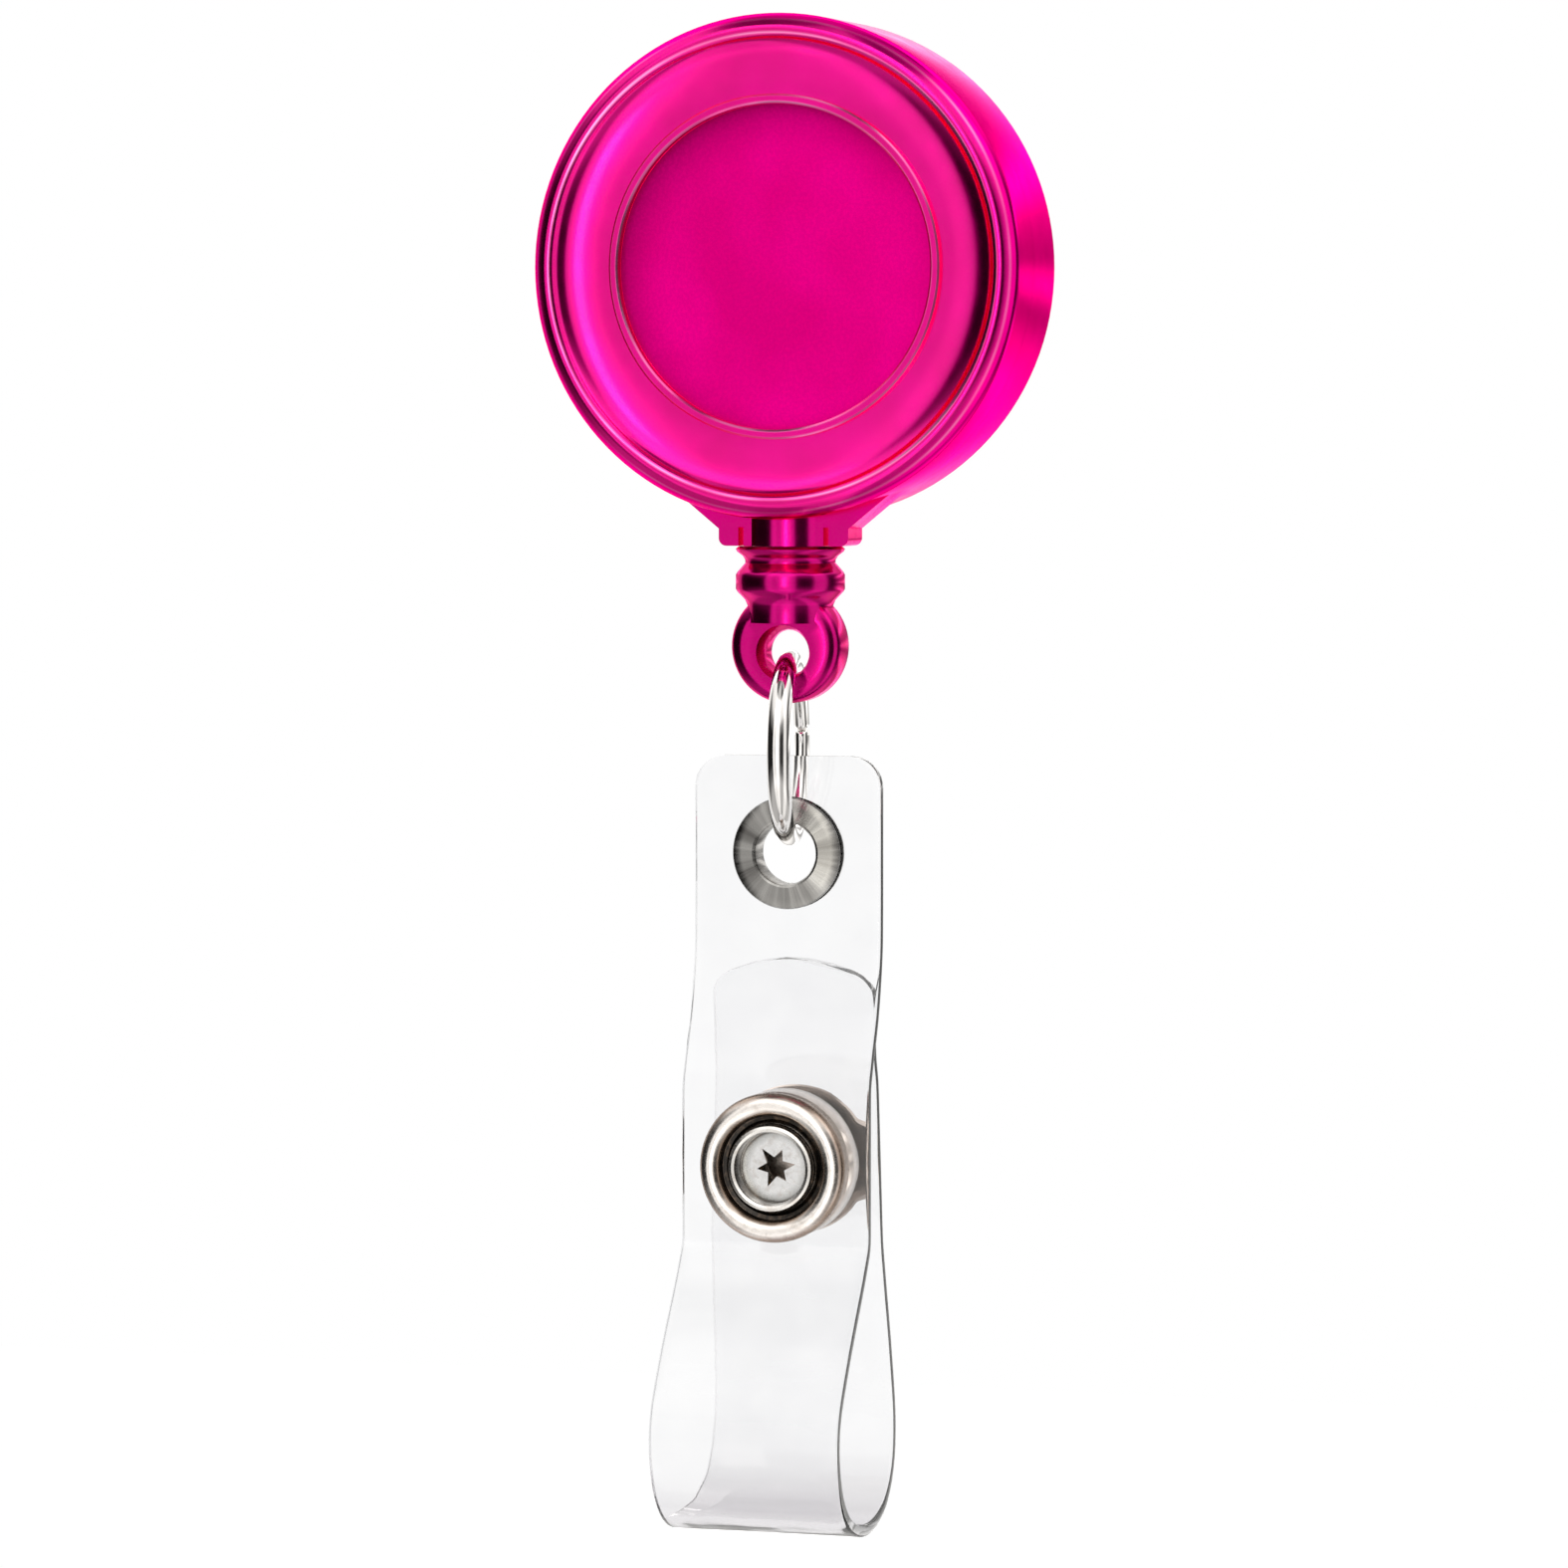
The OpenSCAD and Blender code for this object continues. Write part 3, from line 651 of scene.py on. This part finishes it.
def strap_section(half, r=0.16, columns=18, arc=4):
    """A row's outline: (x, depth) round the strap, front face first."""
    t = VINYL_T / 2
    out = []
    corners = [(half - r, t - r, 0), (-half + r, t - r, 90), (-half + r, -t + r, 180),
               (half - r, -t + r, 270)]
    for i, (x, y, start) in enumerate(corners):
        for k in range(arc + 1):
            a = math.radians(start + 90 * k / arc)
            out.append((x + r * math.cos(a), y + r * math.sin(a)))
        nx, ny, _ = corners[(i + 1) % 4]
        if i % 2 == 0:
            sign = 1 if i == 0 else -1
            for k in range(1, columns):
                f = k / columns
                out.append((x + (nx - x) * f, sign * t))
    return out


def make_strap(material):
    bm = bmesh.new()
    loops = []
    for p, tangent, half, dome in strap_rows():
        normal = Vector((-tangent.y, tangent.x))
        loop = []
        for x, depth in strap_section(half):
            drop = (TIP_DOME_R - math.sqrt(TIP_DOME_R ** 2 - x * x)) * dome
            q = p + normal * depth - tangent * drop
            loop.append(bm.verts.new((x * MM, PLANE_Y + q.x * MM, q.y * MM)))
        loops.append(loop)
    skin(bm, loops)
    strap = piece("vinyl_strap", bm, material)
    cut_holes(strap)
    smooth(strap, 40)
    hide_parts("strap_leg", "strap_flap")
    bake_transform(strap)


# Holes through the vinyl: radius in mm, height in metres, and the y range they are cut over in mm.
HOLES = [(2.42, GROMMET_Z, -12.6, -8.0), (2.62, SNAP_Z, -15.0, -11.5), (1.32, SNAP_Z, -9.5, -6.5)]


def cut_holes(obj):
    for r, z, y0, y1 in HOLES:
        bm = bmesh.new()
        bmesh.ops.create_cone(bm, cap_ends=True, segments=64, radius1=r * MM, radius2=r * MM,
                              depth=(y1 - y0) * MM)
        bmesh.ops.rotate(bm, verts=bm.verts, matrix=Matrix.Rotation(math.pi / 2, 3, "X"))
        bmesh.ops.translate(bm, verts=bm.verts, vec=(0, (y0 + y1) / 2 * MM, z))
        mesh = bpy.data.meshes.new("cutter")
        bm.to_mesh(mesh)
        bm.free()
        cutter = bpy.data.objects.new("cutter", mesh)
        bpy.context.collection.objects.link(cutter)
        m = obj.modifiers.new("hole", "BOOLEAN")
        m.object = cutter
        m.operation = "DIFFERENCE"
        m.solver = "EXACT"
        graph = bpy.context.evaluated_depsgraph_get()
        cut = bpy.data.meshes.new_from_object(obj.evaluated_get(graph))
        obj.modifiers.clear()
        obj.data = cut
        bpy.data.objects.remove(cutter)


CORD_RINGS = 90
CORD_SIDES = 14
BRAID_BULGE = 0.05      # share of the cord's radius that its braid rises by


def make_cord(material):
    """The cord from inside the outlet to its knot."""
    lo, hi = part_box("cord_tail")
    r = (hi[0] - lo[0]) / 2
    bm = bmesh.new()
    loops = []
    for i in range(CORD_RINGS + 1):
        z = hi[2] + (lo[2] - hi[2]) * i / CORD_RINGS
        bulge = r * (1 + BRAID_BULGE * math.cos(i * 1.3))
        turns = [math.tau * k / CORD_SIDES for k in range(CORD_SIDES)]
        loops.append([bm.verts.new((bulge * math.cos(a), PLANE_Y + bulge * math.sin(a), z))
                      for a in turns])
    skin(bm, loops)
    cord = piece("cord", bm, material)
    smooth(cord, 50)
    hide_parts("cord_tail")
    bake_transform(cord)


WIRE_R = 0.75           # mm
RING_TURN = math.radians(8.6)
RING_GAP = math.radians(10.4)    # where the ring's ends meet, above its rearmost point
REAR_THIN = 0.36        # share of the wire's width lost at the rear
END_GAP = math.radians(0.35)     # half the gap between the ends
END_SHAPE = [(0, 0.55), (0.001, 0.8), (0.0035, 0.95), (0.008, 1)]   # way round, share of the wire


def make_ring(material):
    """The split ring: round wire in front, drawn thinner at the rear, with its ends butted."""
    centre = mid("jump_ring")
    lo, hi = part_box("jump_ring")
    radius = (hi[2] - lo[2]) / 2 - WIRE_R * MM
    forward = Vector((-math.sin(RING_TURN), math.cos(RING_TURN), 0))
    normal = Vector((math.cos(RING_TURN), math.sin(RING_TURN), 0))
    steps, sides = 168, 28
    bm = bmesh.new()
    loops = []
    stops = END_SHAPE + [(t / steps, 1) for t in range(2, steps - 1)]
    stops += [(1 - way, k) for way, k in reversed(END_SHAPE)]
    for share, fullness in stops:
        a = RING_GAP + END_GAP + (math.tau - 2 * END_GAP) * share
        out = forward * math.cos(a) + Vector((0, 0, math.sin(a)))
        thin = 1 - REAR_THIN * ((1 + math.cos(a)) / 2) ** 1.5
        r = WIRE_R * MM * fullness
        loops.append([bm.verts.new(centre + out * (radius + r * math.cos(math.tau * k / sides))
                                   + normal * r * thin * math.sin(math.tau * k / sides))
                      for k in range(sides)])
    skin(bm, loops)
    ring = piece("split_ring", bm, material)
    smooth(ring, 50)
    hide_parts("jump_ring")
    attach(ring, "ring")


def dress_nodes():
    candy = candy_plastic("candy_case", 0.0)
    # The end fitting's copy is darkened by painted shade.
    shaded_candy = candy_plastic("candy_fitting_painted_shade", 0.3)
    plate = nickel()
    snap = nickel("snap_nickel", (0.66, 0.58, 0.52, 1), (0.17, 0.26), (1, 1, 4))
    plated = plated_snap("plated_snap")
    eyelet = brushed_flange("eyelet_nickel", GROMMET_Z)
    steel = nickel("clip_steel", (0.56, 0.56, 0.56, 1), (0.2, 0.34), (8, 1, 1))
    spring = nickel("spring_steel", (0.5, 0.51, 0.53, 1), (0.15, 0.3))
    amber = nickel("amber_wire", (0.75, 0.5, 0.22, 1), (0.15, 0.3))
    white = plain_plastic("spool_plastic", (0.85, 0.85, 0.82, 1), 0.4)
    cord = cord_nylon()
    looks = {
        "front_case": candy, "back_case": candy, "end_fitting": shaded_candy, "spool": white,
        "swivel_washer": white, "power_spring": spring, "clip_spring": spring,
        "cord_winding": cord, "cord_lead": cord, "cord_knot": cord,
        "swivel_rivet": plate, "clip_pin": plate, "clip_base_jaw": steel, "clip_lever_jaw": steel,
        "grommet_eyelet": eyelet, "grommet_washer": eyelet,
        "snap_front_ring": plated, "snap_socket": snap, "snap_socket_spring": amber,
        "snap_stud": snap, "snap_rear_cap": snap,
    }
    group = make_shade_smooth()
    for name, material in looks.items():
        node = frame["nodes"][name]
        node.data.materials.clear()
        node.data.materials.append(material)
        smooth_node(node, group)


def make_shade_smooth():
    """A modifier's node group that shades what it is given smooth."""
    group = bpy.data.node_groups.new("shade_smooth", "GeometryNodeTree")
    for way in ("INPUT", "OUTPUT"):
        group.interface.new_socket("Geometry", in_out=way, socket_type="NodeSocketGeometry")
    enter = group.nodes.new("NodeGroupInput")
    leave = group.nodes.new("NodeGroupOutput")
    shade = group.nodes.new("GeometryNodeSetShadeSmooth")
    shade.inputs["Shade Smooth"].default_value = True
    group.links.new(enter.outputs[0], shade.inputs["Geometry"])
    group.links.new(shade.outputs["Geometry"], leave.inputs[0])
    return group


def smooth_node(node, group):
    """Smooth shading on a CAD node, by modifiers, so its mesh isn't changed."""
    weld = node.modifiers.new("weld", "WELD")
    weld.merge_threshold = WELD_GAP
    shaded = node.modifiers.new("smooth", "NODES")
    shaded.node_group = group
    split = node.modifiers.new("edges", "EDGE_SPLIT")
    split.split_angle = math.radians(EDGE_ANGLE)
    split.use_edge_sharp = False


make_camera()
bpy.context.scene.view_settings.view_transform = "Standard"
make_world()
make_floor()
dress_nodes()
make_strap(clear_vinyl())
make_cord(bpy.data.materials["cord_nylon"])
make_ring(bpy.data.materials["nickel"])
